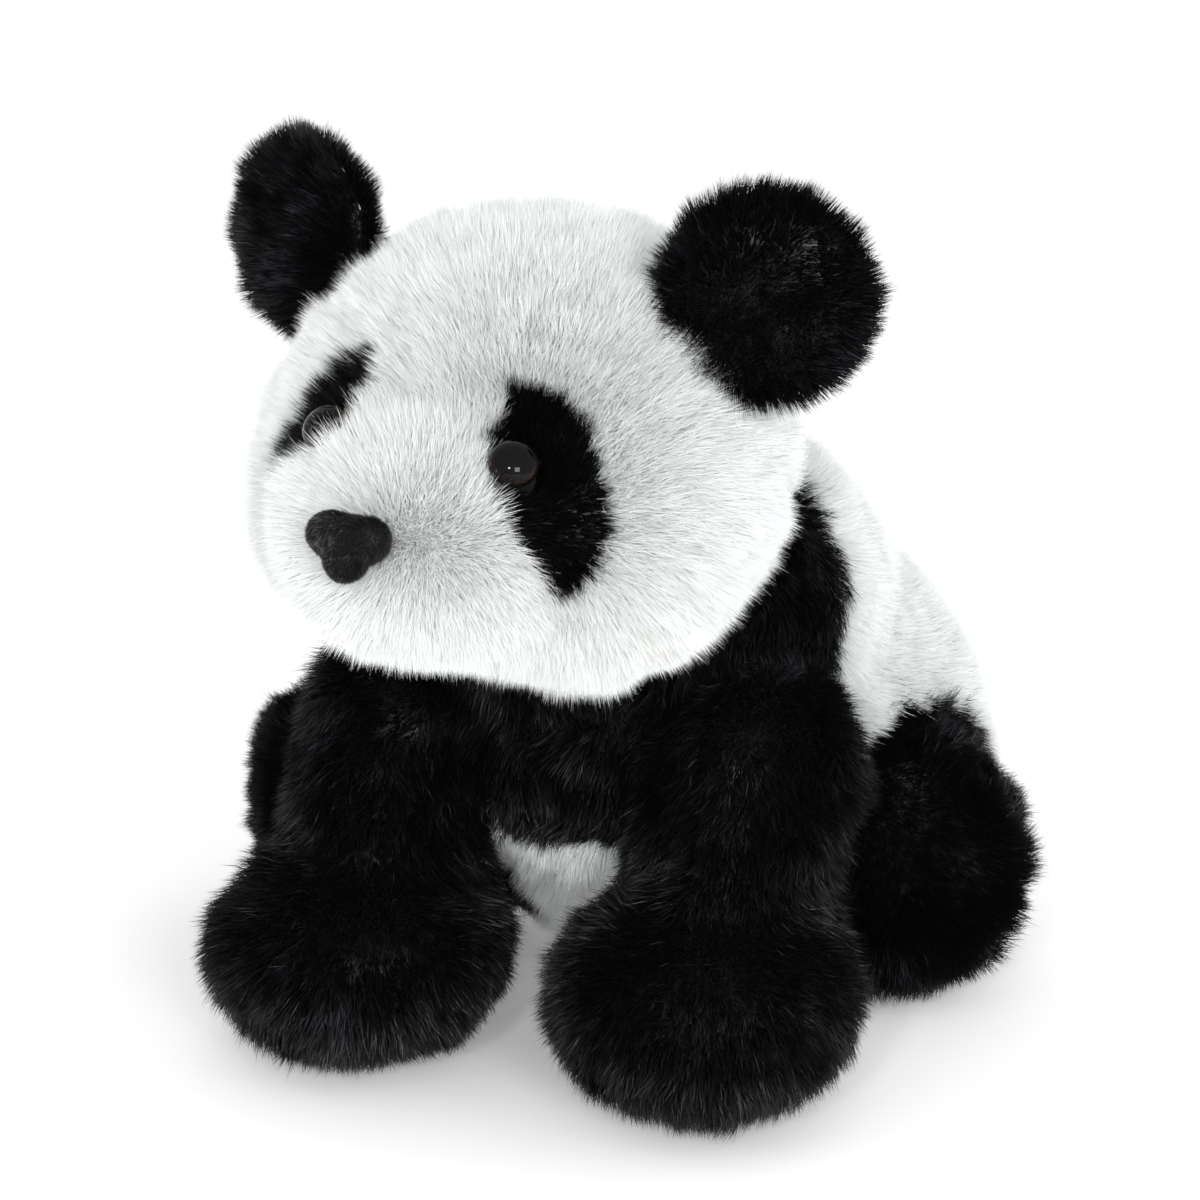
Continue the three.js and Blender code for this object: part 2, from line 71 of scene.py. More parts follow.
def place(x, y, z):
    """A point given in the toy's own millimetres, in the row frame."""
    return ORIGIN + np.array([x, y, z], float) * MM


HEAD_SHIFT, HEAD_TURN, HEAD_ROLL = -3.0, -4.0, 2.0  # millimetres and degrees
NECK = Vector(joint_at("neck_turn"))
HEAD_POSE = (
    Matrix.Translation(NECK)
    @ Matrix.Rotation(math.radians(HEAD_TURN), 4, "Z")
    @ Matrix.Rotation(math.radians(HEAD_ROLL), 4, "Y")
    @ Matrix.Translation(-NECK)
    @ Matrix.Translation((HEAD_SHIFT * MM, 0, 0))
)


def on_head(x, y, z):
    """A point given in millimetres before the head is turned, in the row frame."""
    return np.array(HEAD_POSE @ Vector(place(x, y, z)))


# Forms: each soft form is a few merged lobes, (middle, radii) in millimetres.
HEAD_MIDDLE = (0, -26, 176)
HEAD = [
    ((0, -22, 177), (68, 60, 61)),
    ((0, -82, 162), (35, 32, 27)),
    ((31, -46, 161), (33, 36, 34)),
    ((-31, -46, 161), (33, 36, 34)),
]
TORSO_MIDDLE = (0, 56, 84)
TORSO = [
    ((0, 92, 62), (84, 70, 72)),
    ((0, 34, 84), (58, 46, 44)),
    ((0, 32, 132), (68, 66, 44)),
    ((0, 4, 88), (42, 32, 30)),
]
SHOULDER = (50, -2, 90)
PAW = {"left": (45, -26, 27), "right": (-55, -30, 27)}
HIP = (56, 82, 40)
THIGH = (62, 62, 46)
FOOT_R = 38
SOLE = {"left": (75, 55, FOOT_R), "right": (-117, 36, FOOT_R)}
SOLE_HEADING = {"left": -60, "right": -135}
EAR_AT, EAR_R, EAR_YAW = (66, -30, 223), (30, 11, 30), 20
TAIL_AT, TAIL_R = (0, 160, 44), (17, 15, 13)
BLEND = 6  # how tightly the lobes merge


def side_point(point, side):
    return (point[0] * SIDES[side], point[1], point[2])


def front_leg(side):
    shoulder, paw = side_point(SHOULDER, side), PAW[side]
    wrist = tuple((np.array(shoulder) + paw) / 2)
    return wrist, [(shoulder, (28, 32, 32)), (wrist, (29, 28, 38)), (paw, (42, 41, 28))]


def sole_out(side):
    heading = math.radians(SOLE_HEADING[side])
    return np.array([math.cos(heading), math.sin(heading), 0])


def hind_leg(side):
    foot = tuple(np.array(SOLE[side]) - sole_out(side) * FOOT_R * 0.45)
    middle = tuple((np.array(side_point(HIP, side)) + foot) / 2)
    return middle, [(side_point(THIGH, side), (36, 36, 36)), (foot, (FOOT_R,) * 3)]


def fullness(lobes, points):
    """Above 1 inside the merged lobes, below 1 outside; points are n by 3 in millimetres."""
    total = np.zeros(len(points))
    for middle, radii in lobes:
        d = np.linalg.norm((points - middle) / radii, axis=1)
        total += np.maximum(d, 0.05) ** -BLEND
    return total


def push_out(lobes, middle, directions, grow):
    """Points on the lobes' surface along unit directions from the middle, moved out by grow."""
    middle = np.array(middle, float)
    near, far = np.zeros(len(directions)), np.full(len(directions), 320.0)
    for _ in range(30):
        mid = (near + far) / 2
        inside = fullness(lobes, middle + directions * mid[:, None]) > 1
        near, far = np.where(inside, mid, near), np.where(inside, far, mid)
    return middle + directions * (near + grow)[:, None]


def ball(level):
    """Unit directions and triangles of an even ball."""
    bm = bmesh.new()
    bmesh.ops.create_icosphere(bm, subdivisions=level, radius=1)
    points = np.array([v.co[:] for v in bm.verts])
    faces = np.array([[v.index for v in f.verts] for f in bm.faces])
    bm.free()
    return points / np.linalg.norm(points, axis=1)[:, None], faces


def form(lobes, middle, grow, level, floor=None):
    directions, faces = ball(level)
    points = push_out(lobes, middle, directions, grow)
    if floor is not None:
        points[:, 2] = np.maximum(points[:, 2], floor)
    return points, faces


def to_row(points):
    return ORIGIN + points * MM


def head_to_row(points):
    turn = np.array(HEAD_POSE)
    return to_row(points) @ turn[:3, :3].T + turn[:3, 3]


def from_row(points):
    return (points - ORIGIN) / MM


def head_from_row(points):
    back = np.array(HEAD_POSE.inverted())
    return from_row(points @ back[:3, :3].T + back[:3, 3])


# Meshes ---------------------------------------------------------------------------------------
def new_object(name, points, faces):
    mesh = bpy.data.meshes.new(name)
    mesh.from_pydata(np.asarray(points).tolist(), [], np.asarray(faces).tolist())
    obj = bpy.data.objects.new(name, mesh)
    bpy.context.scene.collection.objects.link(obj)
    return obj


def triangles(obj):
    mesh = obj.data
    mesh.calc_loop_triangles()
    points = np.empty(len(mesh.vertices) * 3)
    mesh.vertices.foreach_get("co", points)
    faces = np.empty(len(mesh.loop_triangles) * 3, np.int32)
    mesh.loop_triangles.foreach_get("vertices", faces)
    return points.reshape(-1, 3), faces.reshape(-1, 3)


def vertex_normals(points, faces):
    corner = points[faces]
    across = np.cross(corner[:, 1] - corner[:, 0], corner[:, 2] - corner[:, 0])
    normals = np.zeros_like(points)
    for i in range(3):
        np.add.at(normals, faces[:, i], across)
    return normals / np.maximum(np.linalg.norm(normals, axis=1), 1e-12)[:, None]


def apply_modifiers(obj):
    graph = bpy.context.evaluated_depsgraph_get()
    mesh = bpy.data.meshes.new_from_object(obj.evaluated_get(graph))
    obj.modifiers.clear()
    old, obj.data = obj.data, mesh
    bpy.data.meshes.remove(old)


def remesh(obj, voxel):
    modifier = obj.modifiers.new("remesh", "REMESH")
    modifier.mode = "VOXEL"
    modifier.voxel_size = voxel
    apply_modifiers(obj)


def smooth(obj, rounds, factor=0.5):
    modifier = obj.modifiers.new("smooth", "SMOOTH")
    modifier.iterations = rounds
    modifier.factor = factor
    apply_modifiers(obj)


PUFF_FRAMES = 12
PUFF_CAP = 2.5 * MM  # how far a point may move


def puff(obj, pins, pressure=4.0):
    """Lets the cloth swell over its stuffing between the pinned seams, then caps the movement."""
    start, _ = triangles(obj)
    group = obj.vertex_groups.new(name="seams")
    for weight in (0.35, 0.95):
        chosen = np.flatnonzero(pins >= weight)
        if len(chosen):
            group.add([int(i) for i in chosen], weight, "REPLACE")
    cloth = obj.modifiers.new("cloth", "CLOTH")
    settings = cloth.settings
    settings.quality = 4
    settings.mass = 0.3
    settings.use_pressure = True
    settings.uniform_pressure_force = pressure
    settings.tension_stiffness = settings.compression_stiffness = 12
    settings.bending_stiffness = 0.6
    settings.vertex_group_mass = "seams"
    settings.pin_stiffness = 1
    settings.effector_weights.gravity = 0
    scene = bpy.context.scene
    for number in range(1, PUFF_FRAMES + 1):
        scene.frame_set(number)
    apply_modifiers(obj)
    scene.frame_set(1)
    end, _ = triangles(obj)
    move = end - start
    far = np.linalg.norm(move, axis=1)
    move *= (PUFF_CAP / np.maximum(far, PUFF_CAP))[:, None]
    obj.data.vertices.foreach_set("co", (start + move).ravel())
    obj.vertex_groups.clear()
    smooth(obj, 2)


# Panels: every face of a skin belongs to the nearest fabric panel of the frame.
def panel_trees(nodes):
    trees = {}
    for node in nodes:
        points, faces = triangles(frame["nodes"][node])
        trees[node] = BVHTree.FromPolygons(points.tolist(), faces.tolist())
    return trees


def nearest_panel(points, trees):
    names = list(trees)
    far = np.full((len(points), len(names)), 1.0)
    for column, tree in enumerate(trees.values()):
        for row, point in enumerate(points):
            hit = tree.find_nearest(point, 0.03)
            if hit[3] is not None:
                far[row, column] = hit[3]
    return far, names


# Noise ----------------------------------------------------------------------------------------
def waves(points, size, seed, channels=1, count=7):
    """Smooth noise of about -1 to 1 with features of the given size."""
    rng = np.random.default_rng(seed)
    out = np.zeros((len(points), channels))
    for c in range(channels):
        ways = rng.normal(size=(count, 3))
        turns = (2 * math.pi / size) * rng.uniform(0.6, 1.5, (count, 1))
        ways *= turns / np.linalg.norm(ways, axis=1)[:, None]
        phases = rng.uniform(0, 2 * math.pi, count)
        out[:, c] = np.sin(points @ ways.T + phases).sum(1) / math.sqrt(count)
    return out if channels > 1 else out[:, 0]


def unit(vectors):
    return vectors / np.maximum(np.linalg.norm(vectors, axis=1), 1e-12)[:, None]


# Pile -----------------------------------------------------------------------------------------
DENSITY = 1.0


@dataclass
class Pile:
    """How the fibres of one fabric grow."""

    length: float  # millimetres
    lean: float  # degrees off the cloth's normal
    density: float  # fibres on a square millimetre
    width: float  # millimetres at the root
    clump: float = 0.3  # how far the tips of a tuft draw together
    tuft: float = 2.6  # millimetres across one tuft
    wild: float = 0.2  # how much single fibres stray
    droop: float = 0.1  # how much the tips hang
    straight: bool = False  # one triangle for a fibre instead of a bent ribbon


def fibres(points, faces, comb, pile, seed, length_scale=None, keep=None):
    """Fibres on triangles, combed along a direction for each vertex: corners, quads, tips and uv."""
    rng = np.random.default_rng(seed)
    normals = vertex_normals(points, faces)
    corner = points[faces]
    across = np.cross(corner[:, 1] - corner[:, 0], corner[:, 2] - corner[:, 0])
    area = np.linalg.norm(across, axis=1) / 2
    count = int(area.sum() / MM**2 * pile.density * DENSITY)
    chosen = np.sort(rng.choice(len(faces), count, p=area / area.sum()))
    a, b = rng.random(count), rng.random(count)
    flip = a + b > 1
    a, b = np.where(flip, 1 - a, a), np.where(flip, 1 - b, b)
    weights = np.stack([1 - a - b, a, b], 1)[:, :, None]

    def blend(values):
        return (values[faces[chosen]] * weights).sum(1)

    root, normal, way = blend(points), unit(blend(normals)), blend(comb)
    scale = blend(length_scale[:, None])[:, 0] if length_scale is not None else np.ones(count)
    if keep is not None:
        stay = keep(root)
        root, normal, way, scale = root[stay], normal[stay], way[stay], scale[stay]
        count = len(root)
    way = way + waves(root, 26 * MM, seed + 1, 3) * 0.35 + waves(root, 7 * MM, seed + 2, 3) * 0.22
    way = unit(way - normal * (way * normal).sum(1)[:, None])
    length = pile.length * MM * scale * rng.normal(1, 0.13, count).clip(0.55, 1.35)
    length *= 1 + 0.16 * waves(root, 11 * MM, seed + 3)
    lean = pile.lean * (1 + 0.3 * waves(root, 17 * MM, seed + 4)) + rng.normal(0, 7, count)
    lean = np.radians(lean).clip(0.1, 1.35)
    low = normal * np.cos(lean * 0.7)[:, None] + way * np.sin(lean * 0.7)[:, None]
    high = normal * np.cos(lean * 1.25)[:, None] + way * np.sin(lean * 1.25)[:, None]
    high[:, 2] -= pile.droop
    stray = rng.normal(0, pile.wild, (count, 3))
    middle = root + low * (length * 0.5)[:, None] + stray * (length * 0.18)[:, None]
    tip = middle + unit(high + stray) * (length * 0.5)[:, None]
    # Tufts: fibres of one small cell lean together.
    cell = (root + waves(root, 5 * MM, seed + 5, 3) * 1.2 * MM) / (pile.tuft * MM)
    cell = np.floor(cell).astype(np.int64)
    key = (cell * (73856093, 19349663, 83492791)).sum(1)
    _, group = np.unique(key, return_inverse=True)
    size = np.bincount(group)
    heart = np.stack([np.bincount(group, tip[:, i]) for i in range(3)], 1) / size[:, None]
    pull = (pile.clump * rng.uniform(0.4, 1.3, count))[:, None]
    tip += (heart[group] - tip) * pull
    middle += (heart[group] - tip) * pull * 0.18
    tip[:, 2] = np.maximum(tip[:, 2], 0)
    middle[:, 2] = np.maximum(middle[:, 2], 0)
    # A random tone value for each fibre, from large patches, tufts and single fibres; the black pile's
    # ramp makes its top end bright, partly paler stray fibres and partly painted sheen.
    shade = 0.5 + 0.16 * waves(root, 30 * MM, seed + 6) + 0.12 * rng.uniform(-1, 1, len(size))[group]
    shade = (shade + rng.normal(0, 0.14, count)).clip(0.02, 0.98)
    across = unit(np.cross(tip - root, rng.normal(size=(count, 3))))
    wide = (pile.width * MM * rng.uniform(0.75, 1.25, count) / 2)[:, None]
    sunk = root - normal * 0.4 * MM
    if pile.straight:
        verts = np.stack([sunk - across * wide, sunk + across * wide, tip], 1).reshape(-1, 3)
        # The second map value runs from root to tip; the material paints shade at the root end and a
        # highlight at the tip end from it.
        uv = np.stack([np.repeat(shade, 3), np.tile((0.02, 0.02, 0.98), count)], 1)
        return verts, np.empty((0, 4), int), np.arange(count * 3).reshape(-1, 3), uv
    verts = np.stack([
        sunk - across * wide, sunk + across * wide,
        middle - across * wide * 0.8, middle + across * wide * 0.8, tip,
    ], 1).reshape(-1, 3)
    start = np.arange(count)[:, None] * 5
    quads, tips = start + (0, 1, 3, 2), start + (2, 3, 4)
    # Along the fibre from root to tip; the material paints shade at the root end and a highlight at the
    # tip end from these.
    heights = np.array([0.02, 0.02, 0.5, 0.5, 0.98])
    uv = np.stack([np.repeat(shade, 5), np.tile(heights, count)], 1)
    return verts, quads, tips, uv


def pile_mesh(name, points, faces, strands, material):
    """One mesh of the cloth and of its fibres, with the map that its colours follow."""
    verts, quads, tips, uv = strands
    base = len(points)
    used = np.concatenate([faces.ravel(), (quads + base).ravel(), (tips + base).ravel()])
    sizes = np.concatenate([np.full(len(faces), 3), np.full(len(quads), 4), np.full(len(tips), 3)])
    mesh = bpy.data.meshes.new(name)
    mesh.vertices.add(base + len(verts))
    mesh.vertices.foreach_set("co", np.concatenate([points, verts]).ravel())
    mesh.loops.add(len(used))
    mesh.loops.foreach_set("vertex_index", used.astype(np.int32))
    mesh.polygons.add(len(sizes))
    starts = np.concatenate([[0], np.cumsum(sizes)[:-1]])
    mesh.polygons.foreach_set("loop_start", starts.astype(np.int32))
    mesh.polygons.foreach_set("use_smooth", np.ones(len(sizes), bool))
    mesh.update(calc_edges=True)
    # The cloth under the fibres takes the root end of the map, so it gets the same painted shade as the
    # fibre roots.
    cloth_uv = np.stack([np.full(base, 0.5), np.full(base, 0.02)], 1)
    layer = mesh.uv_layers.new(name="OFBake")
    layer.data.foreach_set("uv", np.concatenate([cloth_uv, uv])[used].ravel())
    mesh.materials.append(material)
    obj = bpy.data.objects.new(name, mesh)
    bpy.context.scene.collection.objects.link(obj)
    return obj


def submesh(points, faces, chosen, *values):
    """The chosen faces alone, with their points renumbered, and the same points' values."""
    used, index = np.unique(faces[chosen], return_inverse=True)
    return points[used], index.reshape(-1, 3), *(v[used] for v in values)


# Materials ------------------------------------------------------------------------------------
def nodes_of(name):
    material = bpy.data.materials.new(name)
    material.use_nodes = True
    tree = material.node_tree
    return material, tree, tree.nodes["Principled BSDF"]


def link(tree, a, b):
    tree.links.new(a, b)


def ramp(tree, factor, stops):
    node = tree.nodes.new("ShaderNodeValToRGB")
    for _ in range(len(stops) - 2):
        node.color_ramp.elements.new(0.5)
    for element, (at, color) in zip(node.color_ramp.elements, stops):
        element.position = at
        element.color = (*color, 1)
    link(tree, factor, node.inputs["Fac"])
    return node.outputs["Color"]


def multiply(tree, factor, a, b):
    node = tree.nodes.new("ShaderNodeMix")
    node.data_type = "RGBA"
    node.blend_type = "MULTIPLY"
    node.inputs["Factor"].default_value = factor
    link(tree, a, node.inputs["A"])
    link(tree, b, node.inputs["B"])
    return node.outputs["Result"]


def pile_material(name, tones, painted_root_shade_tip_light, roughness, sheen, specular):
    """Fibre colour: tones by the fibre's own random shade value, times a painted shade that darkens the
    fibre towards its root and, where that ramp goes above 1, brightens its tip as a painted highlight.
    """
    material, tree, shader = nodes_of(name)
    uv = tree.nodes.new("ShaderNodeUVMap")
    uv.uv_map = "OFBake"
    split = tree.nodes.new("ShaderNodeSeparateXYZ")
    link(tree, uv.outputs["UV"], split.inputs["Vector"])
    tone = ramp(tree, split.outputs["X"], tones)
    # Painted shade along the fibre: darker at the root, where the fibres would shade each other, and a
    # painted highlight where the ramp goes above 1 at the tip.
    shadow = ramp(tree, split.outputs["Y"], painted_root_shade_tip_light)
    link(tree, multiply(tree, 1.0, tone, shadow), shader.inputs["Base Color"])
    shader.inputs["Roughness"].default_value = roughness
    shader.inputs["Specular IOR Level"].default_value = specular
    shader.inputs["Sheen Weight"].default_value = sheen
    shader.inputs["Sheen Roughness"].default_value = 0.4
    return material


# White pile: tones that differ at random; the second ramp is a slight painted shade at the roots.
WHITE = pile_material(
    "white_pile",
    [(0.0, (0.92, 0.945, 0.935)), (0.35, (0.945, 0.97, 0.96)), (0.7, (0.96, 0.98, 0.97)),
     (1.0, (0.97, 0.965, 0.95))],
    [(0.0, (0.98, 0.98, 0.98)), (1.0, (1, 1, 1))],
    0.9, 0.0, 0.1)
# Black pile: near-black tones with a bluish cast; the top tone paints a few fibres bright, partly paler
# stray fibres and partly painted sheen. The second ramp is painted shade, dark at the roots, and a
# painted highlight above 1 at the tips.
BLACK = pile_material(
    "black_pile",
    [(0.0, (0.002, 0.002, 0.0028)), (0.6, (0.004, 0.004, 0.0052)), (0.84, (0.012, 0.012, 0.015)),
     (1.0, (0.1, 0.1, 0.115))],
    [(0.0, (0.1, 0.1, 0.1)), (0.55, (0.6, 0.6, 0.6)), (1.0, (1.2, 1.2, 1.2))],
    0.34, 0.01, 0.3)
# Nose flock: near-black with a few pale hairs strewn in; the second ramp is painted shade at the roots.
FLOCK = pile_material(
    "nose_flock",
    [(0.0, (0.003, 0.003, 0.0032)), (0.7, (0.008, 0.0075, 0.0075)), (0.9, (0.03, 0.028, 0.028)),
     (1.0, (0.22, 0.21, 0.2))],
    [(0.0, (0.4, 0.4, 0.4)), (1.0, (1, 1, 1))],
    0.5, 0.05, 0.4)


def inner_material(name, low, high, scale, roughness, bump):
    """Cloth, fibre or moulded plastic of a hidden piece, from noise in the piece's own space."""
    material, tree, shader = nodes_of(name)
    coords = tree.nodes.new("ShaderNodeTexCoord")
    noise = tree.nodes.new("ShaderNodeTexNoise")
    noise.inputs["Scale"].default_value = scale
    noise.inputs["Detail"].default_value = 6
    link(tree, coords.outputs["Object"], noise.inputs["Vector"])
    link(tree, ramp(tree, noise.outputs["Fac"], [(0.3, low), (0.7, high)]), shader.inputs["Base Color"])
    rise = tree.nodes.new("ShaderNodeBump")
    rise.inputs["Strength"].default_value = bump
    rise.inputs["Distance"].default_value = MM
    link(tree, noise.outputs["Fac"], rise.inputs["Height"])
    link(tree, rise.outputs["Normal"], shader.inputs["Normal"])
    shader.inputs["Roughness"].default_value = roughness
    return material


POLYFILL = inner_material("polyfill", (0.80, 0.79, 0.76), (0.93, 0.92, 0.90), 420, 0.95, 0.8)
PLASTIC = inner_material("natural_plastic", (0.78, 0.76, 0.70), (0.84, 0.82, 0.76), 900, 0.45, 0.1)


def liner_material(name, low, high):
    """Plain woven liner: two crossed thread waves give the weave its rise and its colour."""
    material, tree, shader = nodes_of(name)
    coords = tree.nodes.new("ShaderNodeTexCoord")
    threads = []
    for way in ("X", "Z"):
        wave = tree.nodes.new("ShaderNodeTexWave")
        wave.bands_direction = way
        wave.inputs["Scale"].default_value = 550
        wave.inputs["Distortion"].default_value = 0.6
        link(tree, coords.outputs["Object"], wave.inputs["Vector"])
        threads.append(wave.outputs["Color"])
    weave = multiply(tree, 0.8, *threads)
    tone = ramp(tree, weave, [(0.1, low), (0.8, high)])
    link(tree, tone, shader.inputs["Base Color"])
    rise = tree.nodes.new("ShaderNodeBump")
    rise.inputs["Strength"].default_value = 0.6
    rise.inputs["Distance"].default_value = 0.3 * MM
    link(tree, weave, rise.inputs["Height"])
    link(tree, rise.outputs["Normal"], shader.inputs["Normal"])
    shader.inputs["Roughness"].default_value = 0.9
    return material


def eye_material():
    """Cast eye: a brown ring that deepens to a black middle under a clear gloss."""
    material, tree, shader = nodes_of("gloss_eye")
    uv = tree.nodes.new("ShaderNodeUVMap")
    uv.uv_map = "OFBake"
    split = tree.nodes.new("ShaderNodeSeparateXYZ")
    link(tree, uv.outputs["UV"], split.inputs["Vector"])
    tone = ramp(tree, split.outputs["Y"], [
        (0.0, (0.0003, 0.0003, 0.0003)), (0.72, (0.0005, 0.0005, 0.0005)),
        (0.84, (0.004, 0.0024, 0.0018)), (0.94, (0.010, 0.006, 0.0045)), (1.0, (0.002, 0.0015, 0.001))])
    link(tree, tone, shader.inputs["Base Color"])
    shader.inputs["Roughness"].default_value = 0.03
    shader.inputs["Specular IOR Level"].default_value = 0.16
    return material


LINER = liner_material("liner_cloth", (0.55, 0.49, 0.40), (0.76, 0.70, 0.60))
NECK_CLOTH = liner_material("neck_cloth", (0.003, 0.003, 0.004), (0.010, 0.010, 0.012))
EYE = eye_material()

# Skins ----------------------------------------------------------------------------------------
PILE_DEPTH = 7.5  # from the tips of the pile down to the cloth, in millimetres
EAR_PILE_DEPTH = (5.5, 4.0, 5.5)  # the same for the thinner ears, along their three radii
SKIN_LIFT = 1.2  # how high the cloth stays over the floor under its pile, in millimetres
VOXEL = 3.0 * MM


def seam_pins(points, trees, width=3.5 * MM):
    """1 on a seam between two panels, falling to 0 away from it."""
    far, _ = nearest_panel(points, trees)
    far.sort(axis=1)
    return (1 - (far[:, 1] - far[:, 0]) / width).clip(0, 1)


def split_panels(points, faces, trees):
    """The panel that each face of a skin belongs to, as an index into the names."""
    far, names = nearest_panel(points[faces].mean(1), trees)
    return far.argmin(1), names


def finish_panel(obj, node, body):
    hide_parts(node)
    if isinstance(body, str):
        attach(obj, body)
    else:
        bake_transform(obj)


# Head -----------------------------------------------------------------------------------------
EYE_SPOT = {"left": (27.5, 186.5), "right": (-23.5, 188)}  # x and z on the face
NOSE_SPOT = (0, 170)


def on_face(spot):
    """The point on the face at an x and z, and the outward direction, in head millimetres."""
    x, z = spot
    start = (x, HEAD_MIDDLE[1], z)
    point = push_out(HEAD, start, np.array([[0.0, -1.0, 0.0]]), 0)[0]
    step = 0.5
    slope = [
        (fullness(HEAD, (point - way)[None]) - fullness(HEAD, (point + way)[None]))[0]
        for way in np.eye(3) * step
    ]
    return point, np.array(slope) / np.linalg.norm(slope)


EYES = {side: on_face(spot) for side, spot in EYE_SPOT.items()}
NOSE_AT, NOSE_OUT = on_face(NOSE_SPOT)


def ear_frame(side):
    s = SIDES[side]
    local = Matrix.Translation((s * EAR_AT[0], EAR_AT[1], EAR_AT[2]))
    return np.array(local @ Matrix.Rotation(math.radians(s * EAR_YAW), 4, "Z"))


def in_ear(points, side, grow):
    """Which head-millimetre points are inside the ear grown by grow."""
    back = np.linalg.inv(ear_frame(side))
    local = points @ back[:3, :3].T + back[:3, 3]
    return np.linalg.norm(local / (np.array(EAR_R) + grow), axis=1) < 1


def away_from_eyes(points, comb):
    """Combs the pile off the eyes, so that it doesn't lie over them."""
    for spot, _ in EYES.values():
        gap = points - spot
        near = np.clip(1 - np.linalg.norm(gap, axis=1) / 15, 0, 1)[:, None]
        comb = comb + unit(gap) * near * 1.5
    return comb


WHITE_NAP = Pile(8.1, 14, 11.0, 0.31, clump=0.06, tuft=2.6, wild=0.27, droop=0.05, straight=True)
BLACK_NAP = Pile(8.0, 20, 8.0, 0.34, clump=0.25, tuft=2.4, wild=0.14, straight=True)
EAR_NAP = Pile(6.2, 30, 8.0, 0.32, clump=0.25, tuft=2.4, wild=0.14, straight=True)


HEAD_PANELS = [
    "head_gusset", "chin_panel", "head_side_left", "head_side_right",
    "eye_patch_left", "eye_patch_right",
]
EYE_CLEAR, NOSE_CLEAR = 5.6, 5.0  # no fibre grows nearer than this to the axis of the eye or nose


def head_pile():
    points, faces = form(HEAD, HEAD_MIDDLE, -PILE_DEPTH, 6)
    points = head_to_row(points)
    panel, names = split_panels(points, faces, panel_trees(HEAD_PANELS))
    local = head_from_row(points)
    comb = unit(local - NOSE_AT) + (0, 0, -0.25)
    comb = away_from_eyes(local, comb) @ np.array(HEAD_POSE)[:3, :3].T
    nose_gap = np.linalg.norm(local - NOSE_AT, axis=1)
    scale = 0.8 + 0.2 * np.clip((nose_gap - 8) / 30, 0, 1)
    for spot, _ in EYES.values():
        eye_gap = np.linalg.norm(local - spot, axis=1)
        scale = scale + 0.22 * np.clip((14 - eye_gap) / 5, 0, 1)

    def keep(roots):
        inside = head_from_row(roots)
        stay = ~(in_ear(inside, "left", -6) | in_ear(inside, "right", -6))
        for spot, out in EYES.values():
            stay &= np.linalg.norm(np.cross(inside - spot, out), axis=1) > EYE_CLEAR
        return stay & (np.linalg.norm(np.cross(inside - NOSE_AT, NOSE_OUT), axis=1) > NOSE_CLEAR)

    for i, node in enumerate(names):
        white = "patch" not in node
        sub = submesh(points, faces, panel == i, comb, scale)
        kind = WHITE_NAP if white else BLACK_NAP
        strands = fibres(sub[0], sub[1], sub[2], kind, 100 + i, sub[3], keep)
        obj = pile_mesh(node + "_pile", sub[0], sub[1], strands, WHITE if white else BLACK)
        finish_panel(obj, node, "head")


# Ears -----------------------------------------------------------------------------------------
def ear_pile(side):
    directions, faces = ball(5)
    local = directions * (np.array(EAR_R) - EAR_PILE_DEPTH)
    turn = ear_frame(side)
    points = head_to_row(local @ turn[:3, :3].T + turn[:3, 3])
    panel, names = split_panels(points, faces, panel_trees([f"ear_{side}_front", f"ear_{side}_back"]))
    s = SIDES[side]
    foot = on_head(s * 45, -22, 200)
    comb = unit(points - foot)

    def keep(roots):
        inside = head_from_row(roots)
        return fullness([(m, np.array(r) - PILE_DEPTH) for m, r in HEAD], inside) < 1

    for i, node in enumerate(names):
        sub = submesh(points, faces, panel == i, comb)
        strands = fibres(sub[0], sub[1], sub[2], EAR_NAP, 200 + i + 10 * (s > 0), None, keep)
        obj = pile_mesh(node + "_pile", sub[0], sub[1], strands, BLACK)
        finish_panel(obj, node, f"ear_{side}")


# Body: torso and legs are one continuous skin, cut into the frame's panels.
def body_skin():
    level = 5
    forms = [form(TORSO, TORSO_MIDDLE, -PILE_DEPTH, level, SKIN_LIFT)]
    for side in SIDES:
        middle, lobes = front_leg(side)
        forms.append(form(lobes, middle, -PILE_DEPTH, level, SKIN_LIFT))
        middle, lobes = hind_leg(side)
        points, faces = form(lobes, middle, -PILE_DEPTH, level, SKIN_LIFT)
        out, centre = sole_out(side), np.array(SOLE[side])
        ahead = (points - centre) @ out + PILE_DEPTH - 2
        points -= np.maximum(ahead, 0)[:, None] * 0.8 * out
        forms.append((points, faces))
    base, all_points, all_faces = 0, [], []
    for points, faces in forms:
        all_points.append(to_row(points))
        all_faces.append(faces + base)
        base += len(points)
    obj = new_object("body", np.concatenate(all_points), np.concatenate(all_faces))
    remesh(obj, VOXEL)
    smooth(obj, 6)
    return obj


BODY_PANELS = {
    "shoulder_yoke": "black", "chest_panel": "black", "belly_panel": "white",
    "back_left": "white", "back_right": "white",
}
LEG_PARTS = {"front": ("inner", "outer"), "hind": ("shell", "sole")}
BODY_PANELS |= {
    f"{pair}_leg_{side}_{part}": "black"
    for side in SIDES for pair in LEG_PARTS for part in LEG_PARTS[pair]
}


